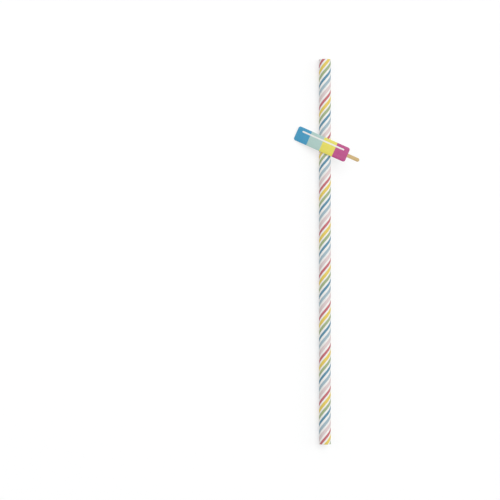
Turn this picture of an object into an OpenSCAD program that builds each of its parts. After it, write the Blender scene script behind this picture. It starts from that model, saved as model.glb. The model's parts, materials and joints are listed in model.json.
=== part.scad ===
// Paper drinking straw with a die-cut card lolly glued across it near one end.
// Units are millimetres. The straw lies along Y on the floor at Z = 0, rolled
// until one end of the card touches the floor, as it comes to rest.

/* [Straw] */
// Length of the straw from cut end to cut end
straw_l = 195; // [120:5:260]
// Outer diameter of the straw
straw_d = 6; // [5:0.5:12]
// Thickness of the wound paper wall
wall_t = 0.4; // [0.3:0.05:0.8]

/* [Lolly card] */
// Thickness of the printed card
card_t = 0.4; // [0.3:0.05:1.2]
// Length of the lolly's body
body_l = 28.2; // [20:0.2:40]
// Width of the lolly's body
body_w = 7.6; // [5:0.1:14]
// Radius of the body's corners
corner_r = 1.1; // [0.4:0.1:2.2]
// Length of the stick that shows beyond the body
stick_l = 6.5; // [3:0.1:12]
// Width of the stick
stick_w = 1.9; // [1:0.1:3]
// Turn of the card across the straw, with its stick end towards the far end
card_turn = 24; // [0:0.1:60]
// Distance of the body's middle from the near cut end of the straw
card_y = 43.1; // [25:0.1:90]
// Shift of the body's middle to the left of the straw's axis
card_shift = 1.7; // [0:0.1:4]

/* [Print on the card] */
// Thickness of card that takes up the printed colour
ink_t = 0.06; // [0.04:0.01:0.12]
// Width of the pale highlight streak
shine_w = 0.8; // [0.5:0.1:1.6]
// Distance from the body's long edge to the middle of the streak
shine_in = 1.95; // [1.2:0.05:2.4]
// Distance from each end of the body to the end of the streak
shine_end = 2.6; // [1:0.1:6]

/* [Glue] */
// Gap between the straw and the card's back, filled by the glue
glue_t = 0.25; // [0.1:0.05:0.8]
// Width of the dab of glue across the straw
glue_w = 3; // [1.6:0.1:4]
// Length of the dab of glue along the straw
glue_l = 5; // [3:0.2:6]

/* [Hidden] */

$fn = 96;

// The four equal colour blocks of the body, from the blunt end to the stick
block_colours = ["#3f9fcb", "#aed0c8", "#e8de58", "#c44d8e"];
shine_colour = "#f6f8f6";
stick_colour = "#e0b678";

straw_r = straw_d / 2;
body_half_l = body_l / 2;
body_half_w = body_w / 2;
stick_r = stick_w / 2;
// The glue's length and width without its round ends
glue_run = glue_l - glue_w;

// The outline's round ends on the unturned card: a centre and a radius each.
// Every outermost point of the card lies on one of them.
outline_rounds = concat(
    [for (sx = [-1, 1], sy = [-1, 1])
        [sx * (body_half_l - corner_r), sy * (body_half_w - corner_r), corner_r]],
    [[body_half_l + stick_l - stick_r, 0, stick_r]]
);

// Place across the straw of an outline centre, once the card is turned and shifted
function across(p) = p[0] * cos(card_turn) + p[1] * sin(card_turn) - card_shift;

// The card's reach to either side of the straw's axis
reach_left = -min([for (p = outline_rounds) across(p) - p[2]]);
reach_right = max([for (p = outline_rounds) across(p) + p[2]]);
// Heights of the card's back and front above the straw's axis
back_h = straw_r + glue_t;
front_h = back_h + card_t;

// Roll about the straw's axis that brings the left end's back edge to the floor
edge_distance = norm([reach_left, back_h]);
roll = atan2(back_h, reach_left) + asin(straw_r / edge_distance);

// The rolled card's reach, which centres the whole part on X = 0
low_x = min(-reach_left * cos(roll) - front_h * sin(roll), -straw_r);
high_x = max(reach_right * cos(roll) - back_h * sin(roll), straw_r);
axis_x = -(low_x + high_x) / 2;

// How far cutters run past the surfaces they cut
over = 1;

// Lays a piece on the floor. The piece is drawn with the straw's axis on Y,
// the card above it and the card's end of the straw at +Y.
module lying() {
    translate([axis_x, 0, straw_r]) rotate([0, -roll, 0]) children();
}

// A shape drawn around Z, turned so that Z runs along the straw towards the card's end
module along_straw() {
    rotate([-90, 0, 0]) children();
}

// A flat outline with equal round corners
module rounded_rect(l, w, r) {
    square([l - 2 * r, w], center = true);
    square([l, w - 2 * r], center = true);
    for (sx = [-1, 1], sy = [-1, 1])
        translate([sx * (l / 2 - r), sy * (w / 2 - r)]) circle(r);
}

// A bar with round ends, from its first end to its last along X
module capsule(l, w) {
    translate([w / 2, -w / 2]) square([l - w, w]);
    for (x = [w / 2, l - w / 2]) translate([x, 0]) circle(w / 2);
}

// The lolly's stick, square where it leaves the body and round at its free end
module stick_outline() {
    translate([body_half_l - corner_r, -stick_r])
        square([stick_l + corner_r - stick_r, stick_w]);
    translate([body_half_l + stick_l - stick_r, 0]) circle(stick_r);
}

module body_outline() {
    rounded_rect(body_l, body_w, corner_r);
}

module shine_outline() {
    translate([shine_end - body_half_l, body_half_w - shine_in])
        capsule(body_l - 2 * shine_end, shine_w);
}

// One printed colour field of the body, counted from the blunt end
module block_outline(i) {
    block_l = body_l / len(block_colours);
    intersection() {
        body_outline();
        translate([i * block_l - body_half_l, -body_half_w]) square([block_l, body_w]);
    }
}

// The wound paper tube, cut square at both ends
module straw() {
    color("#f2efe9") lying() along_straw() difference() {
        cylinder(h = straw_l, r = straw_r, center = true);
        cylinder(h = straw_l + 2 * over, r = straw_r - wall_t, center = true);
    }
}

// Puts a flat shape's plane on the card's back, turned and shifted as the card is
module on_card() {
    translate([-card_shift, straw_l / 2 - card_y, back_h]) rotate([0, 0, -card_turn]) children();
}

// The die-cut card: white stock with the printed fields in its top layer
module lolly_card() {
    lying() on_card() {
        color("#fbfaf6") linear_extrude(card_t - ink_t) {
            body_outline();
            stick_outline();
        }
        translate([0, 0, card_t - ink_t]) {
            for (i = [0 : len(block_colours) - 1])
                color(block_colours[i]) linear_extrude(ink_t) difference() {
                    block_outline(i);
                    shine_outline();
                }
            color(shine_colour) linear_extrude(ink_t) shine_outline();
            color(stick_colour) linear_extrude(ink_t) difference() {
                stick_outline();
                body_outline();
            }
        }
    }
}

// The dab of glue between the card's back and the straw's round wall
module glue_dot() {
    color("#e9e6dc") lying() difference() {
        translate([0, straw_l / 2 - card_y, 0]) linear_extrude(back_h) {
            square([glue_w, glue_run], center = true);
            for (sy = [-1, 1]) translate([0, sy * glue_run / 2]) circle(glue_w / 2);
        }
        along_straw() cylinder(h = straw_l, r = straw_r, center = true);
    }
}

straw();
lolly_card();
glue_dot();
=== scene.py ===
"""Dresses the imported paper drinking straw: wound striped tube, printed lolly card and dab of glue.

Lengths are in metres. Each piece is drawn with the straw's axis on Y, the card above it and the
card's end of the straw at +Y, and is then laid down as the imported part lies: rolled about the
straw's axis until the blunt end of the card touches the floor.
"""

import json
import logging
import math
from collections.abc import Callable, Iterator, Sequence
from contextlib import contextmanager
from dataclasses import dataclass, field
from enum import Enum

import bmesh
import bpy
from mathutils import Matrix, Vector

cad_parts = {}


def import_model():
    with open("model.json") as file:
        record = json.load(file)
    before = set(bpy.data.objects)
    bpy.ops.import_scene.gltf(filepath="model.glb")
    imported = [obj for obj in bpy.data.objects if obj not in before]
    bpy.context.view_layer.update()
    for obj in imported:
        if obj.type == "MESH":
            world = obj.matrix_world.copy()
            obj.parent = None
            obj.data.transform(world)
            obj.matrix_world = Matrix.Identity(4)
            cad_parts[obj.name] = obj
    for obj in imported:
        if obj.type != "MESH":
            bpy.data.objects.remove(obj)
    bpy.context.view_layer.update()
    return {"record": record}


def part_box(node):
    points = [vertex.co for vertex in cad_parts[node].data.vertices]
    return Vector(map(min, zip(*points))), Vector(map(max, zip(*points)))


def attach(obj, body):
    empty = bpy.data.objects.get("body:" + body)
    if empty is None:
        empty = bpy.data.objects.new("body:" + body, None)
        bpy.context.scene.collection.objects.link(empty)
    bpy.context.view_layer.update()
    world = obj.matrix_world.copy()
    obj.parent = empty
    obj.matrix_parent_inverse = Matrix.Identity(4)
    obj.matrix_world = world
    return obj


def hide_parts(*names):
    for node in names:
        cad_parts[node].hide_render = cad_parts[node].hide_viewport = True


LOG = logging.getLogger("paper_straw")
MM = 0.001
PICTURE_SIDE = 500
# How near to a plane a vertex counts as lying on it
NEAR = 0.0001 * MM

Colour = tuple[float, float, float]
# Two levels or lengths, between which something fades
Span = tuple[float, float]
# A shader's inputs: another node's output, or else a plain number or colour
Level = bpy.types.NodeSocket | float
Tint = bpy.types.NodeSocket | Colour
VertexTest = Callable[[bmesh.types.BMVert], bool]


class Ink(Enum):
    """The printing inks of the straw and of its card, as sRGB colours."""

    BLUE = (36, 114, 143)
    PALE_BLUE = (138, 162, 174)
    PALE_PINK = (199, 180, 180)
    CORAL = (173, 65, 76)
    YELLOW = (208, 181, 46)
    MINT = (135, 154, 104)
    BODY_BLUE = (43, 136, 174)
    BODY_TEAL = (157, 185, 178)
    BODY_YELLOW = (209, 199, 76)
    BODY_MAGENTA = (169, 53, 117)
    SHINE = (216, 215, 211)
    STICK = (186, 157, 102)

    @property
    def linear(self) -> Colour:
        """The ink as linear light."""
        return to_linear(self.value)


class Part(Enum):
    """What is picked in edit mode: its name is the mode, its value the mesh's list."""

    VERT = "verts"
    EDGE = "edges"


def to_linear(srgb: Sequence[float]) -> Colour:
    """Turns an sRGB colour into linear light by the sRGB standard's curve.

    Args:
        srgb: The red, green and blue levels, from 0 to 255.

    Returns:
        The same colour as three linear numbers from 0 to 1.
    """
    shares = [level / 255 for level in srgb]
    return tuple(s / 12.92 if s <= 0.04045 else ((s + 0.055) / 1.055) ** 2.4 for s in shares)


def shaded(colour: Colour, share: float) -> Colour:
    """Gives a linear colour at a share of its brightness."""
    return tuple(share * level for level in colour)


class Bench:
    """The object mode and edit mode moves that every piece is shaped with."""

    # How near to a slice a vertex counts as cut already
    ON_SLICE = 0.00001 * MM
    # How near two vertices lie where a surface meets itself
    ONE_POINT = 0.002 * MM

    @staticmethod
    def deselect() -> None:
        """Leaves nothing selected, so that an operator acts on the next piece alone."""
        bpy.ops.object.select_all(action="DESELECT")

    @staticmethod
    def hold(*pieces: bpy.types.Object) -> None:
        """Selects these pieces alone and makes the first one active.

        Args:
            pieces: The pieces to select.
        """
        Bench.deselect()
        for piece in pieces:
            piece.select_set(True)
        bpy.context.view_layer.objects.active = pieces[0]

    @staticmethod
    @contextmanager
    def editing(piece: bpy.types.Object, part: Part = Part.VERT) -> Iterator[None]:
        """Opens a piece in edit mode and closes it again.

        Args:
            piece: The mesh to edit.
            part: What is selected while editing.

        Yields:
            Nothing: the operators act on the open mesh.
        """
        Bench.hold(piece)
        bpy.ops.object.mode_set(mode="EDIT")
        bpy.ops.mesh.select_mode(type=part.name)
        try:
            yield
        finally:
            bpy.ops.object.mode_set(mode="OBJECT")

    @staticmethod
    def pick(piece: bpy.types.Object, part: Part, test: VertexTest) -> None:
        """Selects the vertices or edges whose every vertex passes a test.

        Args:
            piece: The mesh, open in edit mode.
            part: What is picked.
            test: Says of one vertex whether it belongs.

        Raises:
            ValueError: If nothing is picked.
        """
        bpy.ops.mesh.select_all(action="DESELECT")
        mesh = bmesh.from_edit_mesh(piece.data)
        picked = 0
        for item in getattr(mesh, part.value):
            ends = [item] if part is Part.VERT else item.verts
            if all(test(end) for end in ends):
                item.select_set(True)
                picked += 1
        mesh.select_flush_mode()
        bmesh.update_edit_mesh(piece.data)
        if picked == 0:
            raise ValueError(f"{piece.name} has no {part.value} there")

    @staticmethod
    def extrude(step: Sequence[float]) -> None:
        """Extrudes what is selected by one step."""
        bpy.ops.mesh.extrude_region_move(TRANSFORM_OT_translate={"value": tuple(step)})

    @staticmethod
    def slice(place: Sequence[float], normal: Sequence[float], keep_inner: bool = False) -> None:
        """Slices the whole mesh by a plane.

        Args:
            place: A point of the plane.
            normal: The plane's normal.
            keep_inner: Whether what lies beyond the plane is cut away.
        """
        bpy.ops.mesh.select_all(action="SELECT")
        bpy.ops.mesh.bisect(plane_co=tuple(place), plane_no=tuple(normal),
                            clear_outer=keep_inner, threshold=Bench.ON_SLICE)

    @staticmethod
    def scale(factors: Sequence[float], centre: Sequence[float]) -> None:
        """Scales what is selected along X, Y and Z about a point."""
        bpy.ops.transform.resize(value=tuple(factors), center_override=tuple(centre))

    @staticmethod
    def new_plane(name: str, size: Sequence[float], place: Sequence[float]) -> bpy.types.Object:
        """Adds a flat rectangle, drawn in X and Y.

        Args:
            name: The new piece's name.
            size: Its length along X and its width along Y.
            place: Its middle.

        Returns:
            The new piece, with its size and place in its mesh.
        """
        Bench.deselect()
        bpy.ops.mesh.primitive_plane_add(size=1, location=place)
        piece = bpy.context.object
        piece.name = piece.data.name = name
        piece.scale = (size[0], size[1], 1)
        Bench.settle(piece)
        return piece

    @staticmethod
    def settle(piece: bpy.types.Object) -> None:
        """Moves a piece's place, turn and scale into its mesh."""
        Bench.hold(piece)
        bpy.ops.object.transform_apply(location=True, rotation=True, scale=True)

    @staticmethod
    def modify(piece: bpy.types.Object, kind: str, **settings: object) -> None:
        """Adds one modifier and applies it.

        Args:
            piece: The mesh to change.
            kind: The modifier's type.
            settings: The modifier's settings by name.
        """
        Bench.hold(piece)
        modifier = piece.modifiers.new(kind.title(), kind)
        for setting, value in settings.items():
            setattr(modifier, setting, value)
        bpy.ops.object.modifier_apply(modifier=modifier.name)

    @staticmethod
    def close_up(piece: bpy.types.Object) -> None:
        """Joins the vertices that meet and turns every face outwards.

        Args:
            piece: The mesh to close.
        """
        with Bench.editing(piece):
            bpy.ops.mesh.select_all(action="SELECT")
            bpy.ops.mesh.remove_doubles(threshold=Bench.ONE_POINT)
            bpy.ops.mesh.normals_make_consistent(inside=False)

    @staticmethod
    def smooth(piece: bpy.types.Object, angle: float) -> None:
        """Shades a piece smooth wherever it bends by less than an angle."""
        Bench.hold(piece)
        bpy.ops.object.shade_smooth_by_angle(angle=angle)


@dataclass(frozen=True)
class Mottle:
    """An uneven pattern through a material.

    It has this many features to a metre, finer layers that show with a strength of their own,
    and a height that its levels from 0 to 1 stand for where it roughens the surface.
    """

    per_metre: float
    layers: float
    strength: float
    relief: float


class Graph:
    """A material's node tree, with the few kinds of node that the finishes share."""

    # The Mix node's sockets for colours
    MIX_SHARE, MIX_FIRST, MIX_SECOND, MIX_RESULT = 0, 6, 7, 2
    # The level around which a noise goes up and down
    NOISE_MIDDLE = 0.5

    def __init__(self, name: str) -> None:
        """Starts a material whose surface is one Principled shader.

        Args:
            name: The material's name.
        """
        self.material = bpy.data.materials.new(name)
        self.material.use_nodes = True
        self.tree = self.material.node_tree
        self.shader = self.tree.nodes["Principled BSDF"]

    def add(self, kind: str, **settings: object) -> bpy.types.Node:
        """Adds a node.

        Args:
            kind: The node's type, without the words that every type starts with.
            settings: The node's properties by name.

        Returns:
            The new node.
        """
        node = self.tree.nodes.new("ShaderNode" + kind)
        for setting, value in settings.items():
            setattr(node, setting, value)
        return node

    def feed(self, socket: bpy.types.NodeSocket, value: object) -> None:
        """Links a socket to another, or sets it to a plain value.

        Args:
            socket: The input to feed.
            value: Another node's output, a plain value, or None to leave the input as it is.
        """
        if isinstance(value, bpy.types.NodeSocket):
            self.tree.links.new(value, socket)
        elif value is not None:
            solid = socket.type == "RGBA" and len(value) == 3
            socket.default_value = (*value, 1) if solid else value

    def math(self, operation: str, *values: Level, clamp: bool = False) -> bpy.types.NodeSocket:
        """Adds a Math node.

        Args:
            operation: What it works out.
            values: Its inputs.
            clamp: Whether its result is kept between 0 and 1.

        Returns:
            Its result.
        """
        node = self.add("Math", operation=operation, use_clamp=clamp)
        for socket, value in zip(node.inputs, values):
            self.feed(socket, value)
        return node.outputs[0]

    def plus(self, first: Level, second: Level) -> bpy.types.NodeSocket:
        """Adds two levels."""
        return self.math("ADD", first, second)

    def minus(self, first: Level, second: Level) -> bpy.types.NodeSocket:
        """Takes the second level from the first."""
        return self.math("SUBTRACT", first, second)

    def times(self, first: Level, second: Level) -> bpy.types.NodeSocket:
        """Multiplies two levels."""
        return self.math("MULTIPLY", first, second)

    def apart(self, first: Level, second: Level) -> bpy.types.NodeSocket:
        """Gives how far two levels lie apart."""
        return self.math("ABSOLUTE", self.minus(first, second))

    def length(self, first: Level, second: Level) -> bpy.types.NodeSocket:
        """Gives the length of a line that goes this far one way and that far square to it."""
        squares = [self.math("POWER", side, 2.0) for side in (first, second)]
        return self.math("SQRT", self.plus(*squares))

    def sway(self, noise: Level, reach: float) -> bpy.types.NodeSocket:
        """Turns a noise's level into a push to both sides, of this reach in all."""
        return self.times(self.minus(noise, self.NOISE_MIDDLE), reach)

    def fade(self, value: Level, span: Span, ends: Span = (0.0, 1.0)) -> bpy.types.NodeSocket:
        """Eases from one level to another as a value crosses a span.

        Args:
            value: The value to follow.
            span: Where the easing starts and where it ends.
            ends: The result before the span and the result after it.

        Returns:
            The eased result.
        """
        node = self.add("MapRange", interpolation_type="SMOOTHSTEP")
        for socket, level in zip(node.inputs, (value, *span, *ends)):
            self.feed(socket, level)
        return node.outputs[0]

    def blend(self, share: Level, first: Tint, second: Tint) -> bpy.types.NodeSocket:
        """Mixes two colours.

        Args:
            share: The second colour's share.
            first: The colour at a share of 0.
            second: The colour at a share of 1.

        Returns:
            The mixed colour.
        """
        node = self.add("Mix", data_type="RGBA")
        self.feed(node.inputs[self.MIX_SHARE], share)
        self.feed(node.inputs[self.MIX_FIRST], first)
        self.feed(node.inputs[self.MIX_SECOND], second)
        return node.outputs[self.MIX_RESULT]

    def bands(self, value: Level, colours: Sequence[Colour]) -> bpy.types.NodeSocket:
        """Gives equal bands of plain colour as a value goes from 0 to 1.

        Args:
            value: The value to follow.
            colours: The bands' linear colours, in order.

        Returns:
            The colour of the band that the value is in.
        """
        node = self.add("ValToRGB")
        ramp = node.color_ramp
        ramp.interpolation = "CONSTANT"
        while len(ramp.elements) < len(colours):
            ramp.elements.new(1.0)
        for index, colour in enumerate(colours):
            ramp.elements[index].position = index / len(colours)
            ramp.elements[index].color = (*colour, 1)
        self.feed(node.inputs[0], value)
        return node.outputs[0]

    def levels(self, value: Level, numbers: Sequence[float]) -> bpy.types.NodeSocket:
        """Gives equal bands of a plain number, as bands does of colour."""
        return self.bands(value, [(number, number, number) for number in numbers])

    def noise(self, vector: bpy.types.NodeSocket, mottle: Mottle) -> bpy.types.NodeSocket:
        """Adds an uneven pattern.

        Args:
            vector: The place to follow.
            mottle: The pattern.

        Returns:
            The pattern's level there, from 0 to 1.
        """
        node = self.add("TexNoise")
        self.feed(node.inputs["Vector"], vector)
        self.feed(node.inputs["Scale"], mottle.per_metre)
        self.feed(node.inputs["Detail"], mottle.layers)
        self.feed(node.inputs["Roughness"], mottle.strength)
        return node.outputs[0]

    def object_place(self, turned: Matrix) -> bpy.types.NodeSocket:
        """Gives the surface's place in a piece's own drawing.

        Args:
            turned: How the drawing was laid down.

        Returns:
            The place in metres, before it was laid down.
        """
        where = self.add("TexCoord").outputs["Object"]
        mapping = self.add("Mapping", vector_type="TEXTURE")
        mapping.inputs["Location"].default_value = turned.to_translation()
        mapping.inputs["Rotation"].default_value = turned.to_euler("XYZ")
        self.feed(mapping.inputs["Vector"], where)
        return mapping.outputs[0]

    def split(self, vector: bpy.types.NodeSocket) -> tuple[bpy.types.NodeSocket, ...]:
        """Splits a place into its X, Y and Z.

        Args:
            vector: The place.

        Returns:
            The three numbers.
        """
        node = self.add("SeparateXYZ")
        self.feed(node.inputs[0], vector)
        return tuple(node.outputs)

    def surface(self, **inputs: object) -> None:
        """Sets or links the Principled shader's inputs, named with underscores for spaces."""
        for name, value in inputs.items():
            self.feed(self.shader.inputs[name.replace("_", " ")], value)

    def roughen(self, *layers: tuple[bpy.types.NodeSocket, Mottle]) -> None:
        """Roughens the surface by bump layers.

        Args:
            layers: Each layer's level, and the pattern that says how high it stands.
        """
        normal = None
        for level, mottle in layers:
            bump = self.add("Bump")
            bump.inputs["Strength"].default_value = 1.0
            bump.inputs["Distance"].default_value = mottle.relief
            self.feed(bump.inputs["Height"], level)
            self.feed(bump.inputs["Normal"], normal)
            normal = bump.outputs[0]
        self.feed(self.shader.inputs["Normal"], normal)


@dataclass(frozen=True)
class CardSizes:
    """The sizes of the card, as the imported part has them."""

    thickness: float = 0.4 * MM
    body_length: float = 28.2 * MM
    body_width: float = 7.6 * MM
    corner: float = 1.1 * MM
    stick_length: float = 6.5 * MM
    stick_width: float = 1.9 * MM
    turn: float = math.radians(24)
    from_end: float = 43.1 * MM
    shift: float = 1.7 * MM
    ink: float = 0.06 * MM
    shine_width: float = 0.8 * MM
    shine_inset: float = 1.95 * MM
    shine_end: float = 2.6 * MM
    glue: float = 0.25 * MM

    def reach_left(self) -> float:
        """Works out how far the card reaches to the left of the straw's axis.

        Returns:
            The distance from the axis to the card's furthest left point.
        """
        along = self.body_length / 2 - self.corner
        across = self.body_width / 2 - self.corner
        level = along * math.cos(self.turn) + across * math.sin(self.turn)
        return level + self.corner + self.shift


@dataclass(frozen=True)
class Lay:
    """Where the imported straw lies, and how its drawing is turned to lie there."""

    axis: Vector
    radius: float
    bore: float
    end: float
    card: CardSizes = field(default_factory=CardSizes)

    @classmethod
    def of_frame(cls, record: dict) -> "Lay":
        """Reads the straw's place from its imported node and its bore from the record.

        Args:
            record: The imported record.

        Returns:
            The place that the pieces are laid in.
        """
        low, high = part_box("straw")
        bore = next(mount for mount in record["mounts"] if mount["name"] == "bore")
        return cls(
            axis=Vector(bore["pos_m"]),
            radius=(high.z - low.z) / 2,
            bore=bore["dims"]["r_mm"] * MM,
            end=high.y,
        )

    @property
    def back_height(self) -> float:
        """Height of the card's back above the straw's axis."""
        return self.radius + self.card.glue

    @property
    def roll(self) -> float:
        """The roll that brings the card's left end to the floor.

        Returns:
            The angle.
        """
        reach = self.card.reach_left()
        edge = math.hypot(reach, self.back_height)
        return math.atan2(self.back_height, reach) + math.asin(self.radius / edge)

    def straw(self) -> Matrix:
        """How a drawing about the straw's axis is laid down."""
        return Matrix.Translation(self.axis) @ Matrix.Rotation(-self.roll, 4, "Y")

    def on_card(self) -> Matrix:
        """How a drawing on the card's back is laid down."""
        place = Vector((-self.card.shift, self.end - self.card.from_end, self.back_height))
        return self.straw() @ Matrix.Translation(place) @ Matrix.Rotation(-self.card.turn, 4, "Z")

    @staticmethod
    def lay_down(piece: bpy.types.Object, turned: Matrix) -> None:
        """Lays a drawn piece down, with its place in its mesh."""
        piece.matrix_world = turned
        Bench.settle(piece)


@dataclass(frozen=True)
class Stripe:
    """One printed stripe in its lane, which is a sixth of a turn of the print.

    It has an ink, the share of the lane that the ink covers, and how far its middle lies past
    the lane's middle, as a share of the lane too.
    """

    ink: Ink
    share: float
    past: float


@dataclass(frozen=True)
class WoundPaper:
    """White straw paper, printed with a turn of six soft stripes before it is wound.

    The stripes' blur, wander and rim are shares of a lane, and the wobble is a share of a turn.
    A span of fibres holds two levels of their pattern, and that of the glue between the plies
    two shares of a ply. The skins are depths under the printed face and heights over the bore's.
    """

    stripes: tuple[Stripe, ...] = (
        Stripe(Ink.BLUE, 0.51, -0.04),
        Stripe(Ink.PALE_BLUE, 0.58, -0.01),
        Stripe(Ink.PALE_PINK, 0.68, 0.05),
        Stripe(Ink.CORAL, 0.52, 0.07),
        Stripe(Ink.YELLOW, 0.65, 0.03),
        Stripe(Ink.MINT, 0.58, -0.02),
    )
    edge_blur: float = 0.018
    edge_wander: float = 0.035
    rim_of_ink: float = 0.05
    ink_within_rim: float = 0.93
    ink_on_fibres: float = 0.90
    inked_fibres: Span = (0.30, 0.80)
    printed_skin: Span = (0.05 * MM, 0.02 * MM)
    wobble: float = 0.012
    drift: float = 0.2 * MM

    paper: Colour = (0.745, 0.74, 0.715)
    fibre_shade: float = 0.955
    shaded_fibres: Span = (0.25, 0.80)
    core: Colour = (0.68, 0.67, 0.64)
    plies: int = 3
    ply_glue: Colour = (0.42, 0.40, 0.36)
    ply_glue_share: float = 0.35
    ply_glue_edge: Span = (0.40, 0.47)
    bore_skin: Span = (0.02 * MM, 0.06 * MM)

    roughness: Span = (0.56, 0.70)
    rough_fibres: Span = (0.20, 0.80)
    specular: float = 0.32
    fibres: Mottle = Mottle(5200, 4, 0.7, 0.012 * MM)
    wander: Mottle = Mottle(420, 3, 0.6, 0.02 * MM)

    def material(self, lay: Lay, pitch: float, first: float) -> bpy.types.Material:
        """Makes the paper.

        Args:
            lay: Where the straw lies.
            pitch: Advance of the print along the straw for one turn.
            first: Distance from the card's end to the first ink's middle, on the front.

        Returns:
            The finished material.
        """
        graph = Graph("striped_paper")
        place = graph.object_place(lay.straw())
        across, along, up = graph.split(place)
        radius = graph.length(across, up)
        fibres = graph.noise(place, self.fibres)
        wander = graph.noise(place, self.wander)

        turn = graph.math("DIVIDE", graph.math("ARCTAN2", across, up), 2 * math.pi)
        wound = graph.plus(self.turns_from_end(graph, lay, along, pitch), turn)
        start = 0.5 / len(self.stripes) - first / pitch
        level = graph.plus(graph.plus(wound, start), graph.sway(wander, self.wobble))
        phase = graph.math("FRACT", level)

        outside = tuple(lay.radius - depth for depth in self.printed_skin)
        printed = graph.fade(radius, outside)
        pulp = graph.blend(graph.fade(fibres, self.shaded_fibres), self.paper,
                           shaded(self.paper, self.fibre_shade))
        blank = graph.blend(printed, self.cut_wall(graph, lay, radius), pulp)
        ink = graph.times(self.ink_share(graph, phase, fibres), printed)
        inks = graph.bands(phase, [stripe.ink.linear for stripe in self.stripes])
        graph.surface(
            Base_Color=graph.blend(ink, blank, inks),
            Roughness=graph.fade(fibres, self.rough_fibres, self.roughness),
            Specular_IOR_Level=self.specular,
        )
        graph.roughen((fibres, self.fibres), (wander, self.wander))
        return graph.material

    def turns_from_end(
        self, graph: Graph, lay: Lay, along: Level, pitch: float
    ) -> bpy.types.NodeSocket:
        """Gives how many turns of the print lie between a place and the card's end.

        The paper creeps a little as it is wound, back at the ends and forth in the middle.

        Args:
            graph: The paper's nodes.
            lay: Where the straw lies.
            along: The place along the straw.
            pitch: Advance of the print for one turn.

        Returns:
            The number of turns.
        """
        swing = graph.math("COSINE", graph.times(along, math.pi / lay.end))
        printed_along = graph.plus(along, graph.times(swing, -self.drift))
        return graph.math("DIVIDE", graph.minus(lay.end, printed_along), pitch)

    def ink_share(self, graph: Graph, phase: Level, fibres: Level) -> bpy.types.NodeSocket:
        """Gives how much ink lies on a place: ragged stripes, darker along their rims.

        Args:
            graph: The paper's nodes.
            phase: Where the place lies in a turn of the print.
            fibres: The level of the fibres there.

        Returns:
            The share of ink.
        """
        within = graph.math("FRACT", graph.times(phase, float(len(self.stripes))))
        middle = graph.levels(phase, [0.5 + stripe.past for stripe in self.stripes])
        off_middle = graph.plus(graph.apart(within, middle), graph.sway(fibres, self.edge_wander))
        half = graph.levels(phase, [stripe.share / 2 for stripe in self.stripes])
        beyond = graph.minus(off_middle, half)
        ink = graph.fade(beyond, (self.edge_blur, -self.edge_blur))
        rim = graph.fade(beyond, (-self.rim_of_ink, -self.edge_blur), (self.ink_within_rim, 1.0))
        density = graph.times(graph.fade(fibres, self.inked_fibres, (1.0, self.ink_on_fibres)), rim)
        return graph.times(ink, density)

    def cut_wall(self, graph: Graph, lay: Lay, radius: Level) -> bpy.types.NodeSocket:
        """Gives the colour of the bare wall, with a line of glue between its plies.

        Args:
            graph: The paper's nodes.
            lay: Where the straw lies.
            radius: The place's distance from the straw's axis.

        Returns:
            The colour.
        """
        per_ply = self.plies / (lay.radius - lay.bore)
        depth = graph.times(graph.minus(radius, lay.bore), per_ply)
        off_ply = graph.apart(graph.math("FRACT", depth), 0.5)
        off_bore = tuple(lay.bore + height for height in self.bore_skin)
        line = graph.times(graph.fade(off_ply, self.ply_glue_edge), graph.fade(radius, off_bore))
        return graph.blend(graph.times(line, self.ply_glue_share), self.core, self.ply_glue)


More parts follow.
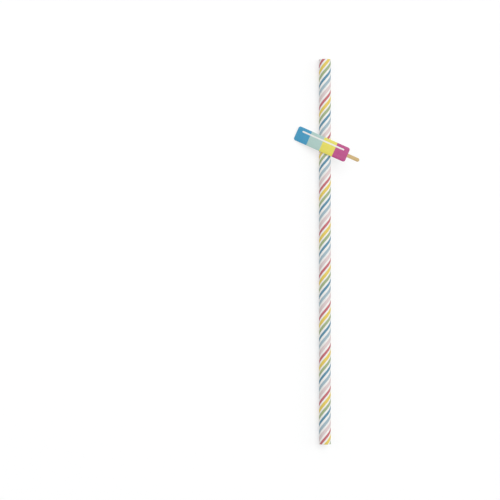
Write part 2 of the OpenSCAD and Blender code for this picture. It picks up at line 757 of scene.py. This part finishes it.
@dataclass(frozen=True)
class PrintedCard:
    """Matt coated card, printed on its front with colour blocks, a streak and a stick.

    A span of the grain or the cloud holds two levels of that pattern.
    """

    blocks: tuple[Ink, ...] = (Ink.BODY_BLUE, Ink.BODY_TEAL, Ink.BODY_YELLOW, Ink.BODY_MAGENTA)
    edge_blur: float = 0.03 * MM
    ink_blur: float = 0.01 * MM
    wear: float = 0.05
    worn_grain: Span = (0.42, 0.85)
    tone: Colour = (0.35, 0.33, 0.30)
    tone_share: float = 0.04
    toned_cloud: Span = (0.35, 0.75)

    board: Colour = (0.74, 0.735, 0.715)
    board_shade: float = 0.93
    shaded_grain: Span = (0.30, 0.80)
    printed_roughness: float = 0.42
    bare_roughness: float = 0.85
    specular: float = 0.4
    grain: Mottle = Mottle(3800, 4, 0.65, 0.008 * MM)
    cloud: Mottle = Mottle(260, 3, 0.55, 0.03 * MM)

    def material(self, lay: Lay) -> bpy.types.Material:
        """Makes the card.

        Args:
            lay: Where the card lies, and its sizes.

        Returns:
            The finished material.
        """
        graph = Graph("printed_card")
        place = graph.object_place(lay.on_card())
        along, across, height = graph.split(place)
        grain = graph.noise(place, self.grain)
        cloud = graph.noise(place, self.cloud)

        front = self.front(graph, lay.card, along, across)
        wear = graph.fade(grain, self.worn_grain, (0.0, self.wear))
        tone = graph.fade(cloud, self.toned_cloud, (0.0, self.tone_share))
        printed = graph.blend(tone, graph.blend(wear, front, self.board), self.tone)
        pulp = graph.blend(graph.fade(grain, self.shaded_grain), self.board,
                           shaded(self.board, self.board_shade))

        ink_foot = lay.card.thickness - lay.card.ink
        inked = graph.fade(height, (ink_foot - self.ink_blur, ink_foot + self.ink_blur))
        graph.surface(
            Base_Color=graph.blend(inked, pulp, printed),
            Roughness=graph.fade(inked, (0.0, 1.0), (self.bare_roughness, self.printed_roughness)),
            Specular_IOR_Level=self.specular,
        )
        graph.roughen((grain, self.grain), (cloud, self.cloud))
        return graph.material

    def front(
        self, graph: Graph, card: CardSizes, along: Level, across: Level
    ) -> bpy.types.NodeSocket:
        """Gives the printed front: the blocks, the pale streak over them and the stick.

        Args:
            graph: The card's nodes.
            card: The card's sizes.
            along: The place along the card, from the body's middle.
            across: The place across the card.

        Returns:
            The printed colour.
        """
        half = card.body_length / 2
        body = graph.math("DIVIDE", graph.plus(along, half), card.body_length, clamp=True)
        blocks = graph.bands(body, [ink.linear for ink in self.blocks])

        edge = card.shine_width / 2
        run = half - card.shine_end - edge
        past = graph.math("MAXIMUM", graph.minus(graph.math("ABSOLUTE", along), run), 0.0)
        off = graph.minus(across, card.body_width / 2 - card.shine_inset)
        shine = graph.fade(graph.length(past, off), (edge + self.edge_blur, edge - self.edge_blur))
        stick = graph.fade(along, (half - self.edge_blur, half + self.edge_blur))
        body_front = graph.blend(shine, blocks, Ink.SHINE.linear)
        return graph.blend(stick, body_front, Ink.STICK.linear)


@dataclass(frozen=True)
class ClearGlue:
    """Set hot-melt glue: cloudy, a little yellow and smooth."""

    colour: Colour = (0.86, 0.83, 0.74)
    clearer: Colour = (0.92, 0.90, 0.84)
    cleared_cloud: Span = (0.3, 0.7)
    roughness: float = 0.24
    transmission: float = 0.45
    subsurface: float = 0.25
    subsurface_radius: tuple[float, float, float] = (0.6, 0.5, 0.4)
    subsurface_scale: float = 1.0 * MM
    cloud: Mottle = Mottle(900, 3, 0.5, 0.05 * MM)

    def material(self, lay: Lay) -> bpy.types.Material:
        """Makes the glue.

        Args:
            lay: Where the straw lies.

        Returns:
            The finished material.
        """
        graph = Graph("clear_glue")
        cloud = graph.noise(graph.object_place(lay.straw()), self.cloud)
        clear = graph.fade(cloud, self.cleared_cloud)
        graph.surface(
            Base_Color=graph.blend(clear, self.colour, self.clearer),
            Roughness=self.roughness,
            Transmission_Weight=self.transmission,
            Subsurface_Weight=self.subsurface,
            Subsurface_Radius=self.subsurface_radius,
            Subsurface_Scale=self.subsurface_scale,
        )
        graph.roughen((cloud, self.cloud))
        return graph.material


@dataclass(frozen=True)
class PaleFloor:
    """A matt sheet to lie on, lit from below until it looks white, as a light table is."""

    colour: Colour = (0.33, 0.33, 0.328)
    roughness: float = 0.9
    specular: float = 0.1
    glow_colour: Colour = (1.0, 1.0, 1.0)
    glow: float = 0.60

    def material(self) -> bpy.types.Material:
        """Makes the floor's sheet.

        Returns:
            The finished material.
        """
        graph = Graph("pale_floor")
        graph.surface(
            Base_Color=self.colour,
            Roughness=self.roughness,
            Specular_IOR_Level=self.specular,
            Emission_Color=self.glow_colour,
            Emission_Strength=self.glow,
        )
        return graph.material


@dataclass
class WoundStraw:
    """The paper tube, wound from strips whose outer and inner butted edges leave fine seams."""

    lay: Lay
    name: str = "paper_straw"
    pitch: float = 21.4 * MM
    steps: int = 96
    spare_turns: int = 2
    seam_from_end: float = 14.5 * MM
    seam_width: float = 0.16 * MM
    ply: float = 0.12 * MM
    lip: float = 0.03 * MM
    inner_seam_from_end: float = 6.2 * MM
    inner_seam_depth: float = 0.06 * MM
    rim: float = 0.05 * MM
    rim_steps: int = 3
    plain_parts: int = 4
    smooth_below: float = math.radians(40)
    first_ink: float = 9.5 * MM
    finish: WoundPaper = field(default_factory=WoundPaper)

    def build(self) -> bpy.types.Object:
        """Makes the tube, closes it and lays it down.

        Returns:
            The finished piece.
        """
        radius, bore = self.lay.radius, self.lay.bore
        outer = self.skin(self.name, radius, -self.ply, self.seam_from_end)
        inner = self.skin(self.name + "_bore", bore, self.inner_seam_depth, self.inner_seam_from_end)
        self.trim(outer, radius, radius - self.rim)
        self.trim(inner, bore, bore + self.rim)
        Bench.hold(outer, inner)
        bpy.ops.object.join()
        with Bench.editing(outer, Part.EDGE):
            for end in (-self.lay.end, self.lay.end):
                Bench.pick(outer, Part.EDGE, lambda v, y=end: abs(v.co.y - y) < NEAR)
                bpy.ops.mesh.fill()
        Bench.close_up(outer)
        Bench.smooth(outer, self.smooth_below)
        self.lay.lay_down(outer, self.lay.straw())
        outer.data.materials.append(self.finish.material(self.lay, self.pitch, self.first_ink))
        return outer

    def quarter_circle(self) -> list[tuple[float, float]]:
        """Walks round a quarter circle in the steps that a rim is rounded in.

        Returns:
            The sine and the cosine of each step's angle, from 0 to 90 degrees.
        """
        angles = [math.pi / 2 * step / self.rim_steps for step in range(self.rim_steps + 1)]
        return [(math.sin(angle), math.cos(angle)) for angle in angles]

    def profile(self, radius: float, depth: float) -> list[Vector]:
        """Draws the wall along one pitch, from the middle of a seam to the middle of the next.

        Args:
            radius: The wall's radius.
            depth: How far the seam's floor lies from the wall: outwards above zero.

        Returns:
            The points, with the radius as X and the place along the straw as Y.
        """
        lip = math.copysign(self.lip, depth)
        half = self.seam_width * self.pitch / (2 * math.pi * radius) / 2
        side = [Vector((radius + depth, 0, 0)), Vector((radius + depth, half, 0))]
        for sine, cosine in self.quarter_circle():
            side.append(Vector((radius + lip * (1 - sine), half + self.lip * (1 - cosine), 0)))
        far = [Vector((point.x, self.pitch - point.y, 0)) for point in reversed(side)]
        plain = (far[0].y - side[-1].y) / self.plain_parts
        between = [side[-1] + Vector((0, plain * i, 0)) for i in range(1, self.plain_parts)]
        return side + between + far

    def skin(self, name: str, radius: float, depth: float, seam: float) -> bpy.types.Object:
        """Winds one wall of the tube, longer than the straw.

        Args:
            name: The new piece's name.
            radius: The wall's radius.
            depth: How far the seam's floor lies from the wall.
            seam: Distance from the card's end to where the seam crosses the front.

        Returns:
            The open, wound wall.
        """
        points = self.profile(radius, depth)
        piece = Bench.new_plane(name, (self.lip, self.lip), points[0])
        with Bench.editing(piece):
            bpy.ops.mesh.select_all(action="SELECT")
            bpy.ops.mesh.merge(type="CENTER")
            for last, point in zip(points, points[1:]):
                Bench.extrude(point - last)
        turns = math.ceil(2 * self.lay.end / self.pitch) + self.spare_turns
        Bench.modify(piece, "SCREW", axis="Y", angle=2 * math.pi, screw_offset=self.pitch,
                     iterations=turns, steps=self.steps, render_steps=self.steps,
                     use_merge_vertices=False)
        Bench.close_up(piece)
        front = Matrix.Rotation(-math.pi / 2, 4, "Y")
        start = self.lay.end - seam - self.pitch * (turns - 1)
        piece.matrix_world = Matrix.Translation((0, start, 0)) @ front
        Bench.settle(piece)
        return piece

    def trim(self, piece: bpy.types.Object, radius: float, rim_radius: float) -> None:
        """Cuts a wall to the straw's length and rounds its ends over towards a rim.

        Args:
            piece: The wound wall.
            radius: The wall's radius.
            rim_radius: The radius that its rounded ends reach.
        """
        curve = [(self.rim * sine, radius + (rim_radius - radius) * (1 - cosine))
                 for sine, cosine in self.quarter_circle()]
        for side in (-1, 1):
            stop = side * (self.lay.end - self.rim)
            with Bench.editing(piece, Part.EDGE):
                Bench.slice((0, stop, 0), (0, side, 0), keep_inner=True)
                Bench.pick(piece, Part.EDGE, lambda v, y=stop: abs(v.co.y - y) < NEAR)
                for (last_reach, last_size), (reach, size) in zip(curve, curve[1:]):
                    Bench.extrude((0, side * (reach - last_reach), 0))
                    factor = size / last_size
                    Bench.scale((factor, 1, factor), (0, 0, 0))


@dataclass
class LollyCard:
    """The die-cut card: a bar with round corners and its stick, in one piece."""

    lay: Lay
    name: str = "printed_lolly"
    corner_steps: int = 10
    # The bevel's profile that rounds a corner to an arc
    arc: float = 0.5
    # What the stick's two rounded corners leave flat at its tip, on each side of the middle
    tip_flat: float = 0.001 * MM
    edge: float = 0.035 * MM
    edge_steps: int = 2
    edge_above: float = math.radians(50)
    smooth_below: float = math.radians(35)
    finish: PrintedCard = field(default_factory=PrintedCard)

    def build(self) -> bpy.types.Object:
        """Makes the card and lays it on the straw.

        Returns:
            The finished piece.
        """
        card = self.lay.card
        piece = Bench.new_plane(self.name, (card.body_length, card.body_width), (0, 0, 0))
        self.round_corners(piece, lambda v: True, card.corner)
        self.draw_stick(piece)
        Bench.modify(piece, "SOLIDIFY", thickness=card.thickness, offset=1.0,
                     use_even_offset=True)
        Bench.modify(piece, "BEVEL", width=self.edge, segments=self.edge_steps,
                     limit_method="ANGLE", angle_limit=self.edge_above)
        Bench.close_up(piece)
        Bench.smooth(piece, self.smooth_below)
        self.lay.lay_down(piece, self.lay.on_card())
        piece.data.materials.append(self.finish.material(self.lay))
        return piece

    def round_corners(self, piece: bpy.types.Object, test: VertexTest, size: float) -> None:
        """Rounds the outline's corners that pass a test.

        Args:
            piece: The flat card.
            test: Says which vertices are corners to round.
            size: The corners' radius.
        """
        with Bench.editing(piece):
            Bench.pick(piece, Part.VERT, test)
            bpy.ops.mesh.bevel(offset_type="OFFSET", offset=size, segments=self.corner_steps,
                               profile=self.arc, affect="VERTICES")

    def draw_stick(self, piece: bpy.types.Object) -> None:
        """Draws the stick out of the body's end and rounds its tip.

        Args:
            piece: The flat body.
        """
        card = self.lay.card
        half = card.body_length / 2
        side = card.stick_width / 2
        with Bench.editing(piece, Part.EDGE):
            for place in (-side, side):
                Bench.slice((0, place, 0), (0, 1, 0))
            Bench.pick(piece, Part.EDGE,
                       lambda v: v.co.x > half - NEAR and abs(v.co.y) < side + NEAR)
            Bench.extrude((card.stick_length, 0, 0))
        tip = half + card.stick_length
        self.round_corners(piece, lambda v: v.co.x > tip - NEAR, side - self.tip_flat)


@dataclass
class GlueDab:
    """The dab of glue, pressed between the card's flat back and the round straw."""

    lay: Lay
    name: str = "glue_dab"
    width: float = 3.0 * MM
    length: float = 5.0 * MM
    sides: int = 64
    # How much narrower the dab is at its waist, and each cut's share of that from the straw up
    waist: float = 0.06
    cuts: tuple[float, ...] = (0.75, 1.0, 0.75)
    # How far the dab starts inside the straw, before the straw's round wall is cut out of it
    sunk: float = 0.2 * MM
    rod_length: float = 15.0 * MM
    rod_sides: int = 192
    smooth_below: float = math.radians(45)
    finish: ClearGlue = field(default_factory=ClearGlue)

    def build(self) -> bpy.types.Object:
        """Makes the dab and lays it under the card.

        Returns:
            The finished piece.
        """
        top = self.lay.back_height
        rim = math.sqrt(self.lay.radius**2 - (self.width / 2) ** 2)
        depth = top - rim + self.sunk
        middle = Vector((0, self.lay.end - self.lay.card.from_end, top - depth / 2))
        Bench.deselect()
        bpy.ops.mesh.primitive_cylinder_add(vertices=self.sides, radius=self.width / 2,
                                            depth=depth, location=middle)
        piece = bpy.context.object
        piece.name = piece.data.name = self.name
        self.pull_in(piece, middle, depth)
        self.seat_on_straw(piece, middle)
        Bench.close_up(piece)
        Bench.smooth(piece, self.smooth_below)
        self.lay.lay_down(piece, self.lay.straw())
        piece.data.materials.append(self.finish.material(self.lay))
        return piece

    def pull_in(self, piece: bpy.types.Object, middle: Vector, depth: float) -> None:
        """Stretches the dab along the straw and pulls its sides in to a waist.

        Args:
            piece: The round dab.
            middle: Its middle.
            depth: Its height.
        """
        level = depth / (len(self.cuts) + 1)
        heights = [middle.z - depth / 2 + level * (i + 1) for i in range(len(self.cuts))]
        with Bench.editing(piece, Part.EDGE):
            bpy.ops.mesh.select_all(action="SELECT")
            Bench.scale((1, self.length / self.width, 1), middle)
            for height in heights:
                Bench.slice((0, 0, height), (0, 0, 1))
        Bench.settle(piece)
        with Bench.editing(piece):
            for height, share in zip(heights, self.cuts):
                Bench.pick(piece, Part.VERT, lambda v, z=height: abs(v.co.z - z) < NEAR)
                size = 1 - self.waist * share
                Bench.scale((size, size, 1), middle)

    def seat_on_straw(self, piece: bpy.types.Object, middle: Vector) -> None:
        """Cuts away what of the dab would lie inside the straw.

        Args:
            piece: The dab.
            middle: Its middle.
        """
        Bench.deselect()
        bpy.ops.mesh.primitive_cylinder_add(vertices=self.rod_sides, radius=self.lay.radius,
                                            depth=self.rod_length, location=(0, middle.y, 0),
                                            rotation=(math.pi / 2, 0, 0))
        rod = bpy.context.object
        Bench.settle(rod)
        Bench.modify(piece, "BOOLEAN", operation="DIFFERENCE", object=rod, solver="EXACT")
        bpy.data.objects.remove(rod)


@dataclass(frozen=True)
class Softbox:
    """One square softbox that faces the straw, hung from it in a direction of X, Y and Z."""

    name: str
    direction: tuple[float, float, float]
    side: float
    power: float
    distance: float = 3.0

    def hang(self, target: Vector) -> None:
        """Hangs the softbox.

        Args:
            target: The point that it faces.
        """
        data = bpy.data.lights.new(self.name, "AREA")
        data.shape, data.size, data.energy = "SQUARE", self.side, self.power
        light = bpy.data.objects.new(self.name, data)
        bpy.context.scene.collection.objects.link(light)
        towards = Vector(self.direction).normalized()
        light.location = target + towards * self.distance
        light.rotation_mode = "QUATERNION"
        light.rotation_quaternion = (-towards).to_track_quat("-Z", "Y")


@dataclass
class Studio:
    """The pale floor, the soft lights and the camera."""

    lay: Lay
    # The camera's scale at the straw's axis, and where the straw's middle falls in the picture
    pixels_per_mm: float = 1.9715
    straw_x: float = 324.9
    straw_y: float = 251.75
    distance: float = 0.8
    sensor: float = 36.0
    nearest: float = 0.05
    furthest: float = 50.0
    floor_side: float = 8.0
    floor_gap: float = 0.01 * MM
    floor: PaleFloor = field(default_factory=PaleFloor)
    softboxes: tuple[Softbox, ...] = (
        Softbox("overhead", (0.03, 0.27, 1.0), 2.8, 70.0),
        Softbox("right_side", (0.84, 0.12, 0.545), 1.8, 21.0),
        Softbox("left_side", (-0.84, 0.12, 0.545), 1.8, 16.0),
    )
    room: Colour = (0.97, 0.98, 1.0)
    room_level: float = 0.45

    def lay_floor(self) -> bpy.types.Object:
        """Lays the floor just under the straw.

        Returns:
            The floor.
        """
        floor = Bench.new_plane("floor", (self.floor_side,) * 2, (0, 0, -self.floor_gap))
        floor.data.materials.append(self.floor.material())
        return floor

    def set_camera(self) -> None:
        """Sets the camera to look straight at the card's front, framed as the photograph is."""
        per_pixel = MM / self.pixels_per_mm
        half = PICTURE_SIDE / 2
        aside = (self.straw_x - half) * per_pixel
        above = (self.straw_y - half) * per_pixel
        data = bpy.data.cameras.new("camera")
        data.sensor_width = self.sensor
        data.lens = self.sensor * self.distance / (PICTURE_SIDE * per_pixel)
        data.clip_start, data.clip_end = self.nearest, self.furthest
        camera = bpy.data.objects.new("camera", data)
        bpy.context.scene.collection.objects.link(camera)
        camera.matrix_world = self.lay.straw() @ Matrix.Translation((-aside, above, self.distance))
        bpy.context.scene.camera = camera

    def set_lights(self) -> None:
        """Hangs the softboxes and lights the room."""
        for softbox in self.softboxes:
            softbox.hang(self.lay.axis)
        world = bpy.data.worlds.new("room")
        world.use_nodes = True
        back = world.node_tree.nodes["Background"]
        back.inputs["Color"].default_value = (*self.room, 1)
        back.inputs["Strength"].default_value = self.room_level
        bpy.context.scene.world = world
        bpy.context.scene.view_settings.view_transform = "Standard"


def main() -> None:
    """Builds the straw, its card, its glue and the studio around them."""
    logging.basicConfig(level=logging.INFO, format="%(name)s: %(message)s")
    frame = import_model()
    lay = Lay.of_frame(frame["record"])

    for maker, node, slot in (
        (WoundStraw(lay), "straw", "striped_paper"),
        (LollyCard(lay), "lolly_card", "printed_card"),
        (GlueDab(lay), "glue_dot", "clear_glue"),
    ):
        piece = maker.build()
        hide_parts(node)
        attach(piece, "root")
        LOG.info("%s has %d faces", piece.name, len(piece.data.polygons))

    studio = Studio(lay)
    studio.lay_floor()
    studio.set_camera()
    studio.set_lights()
    LOG.info("the card is rolled by %.3f degrees", math.degrees(lay.roll))


if __name__ == "__main__":
    main()
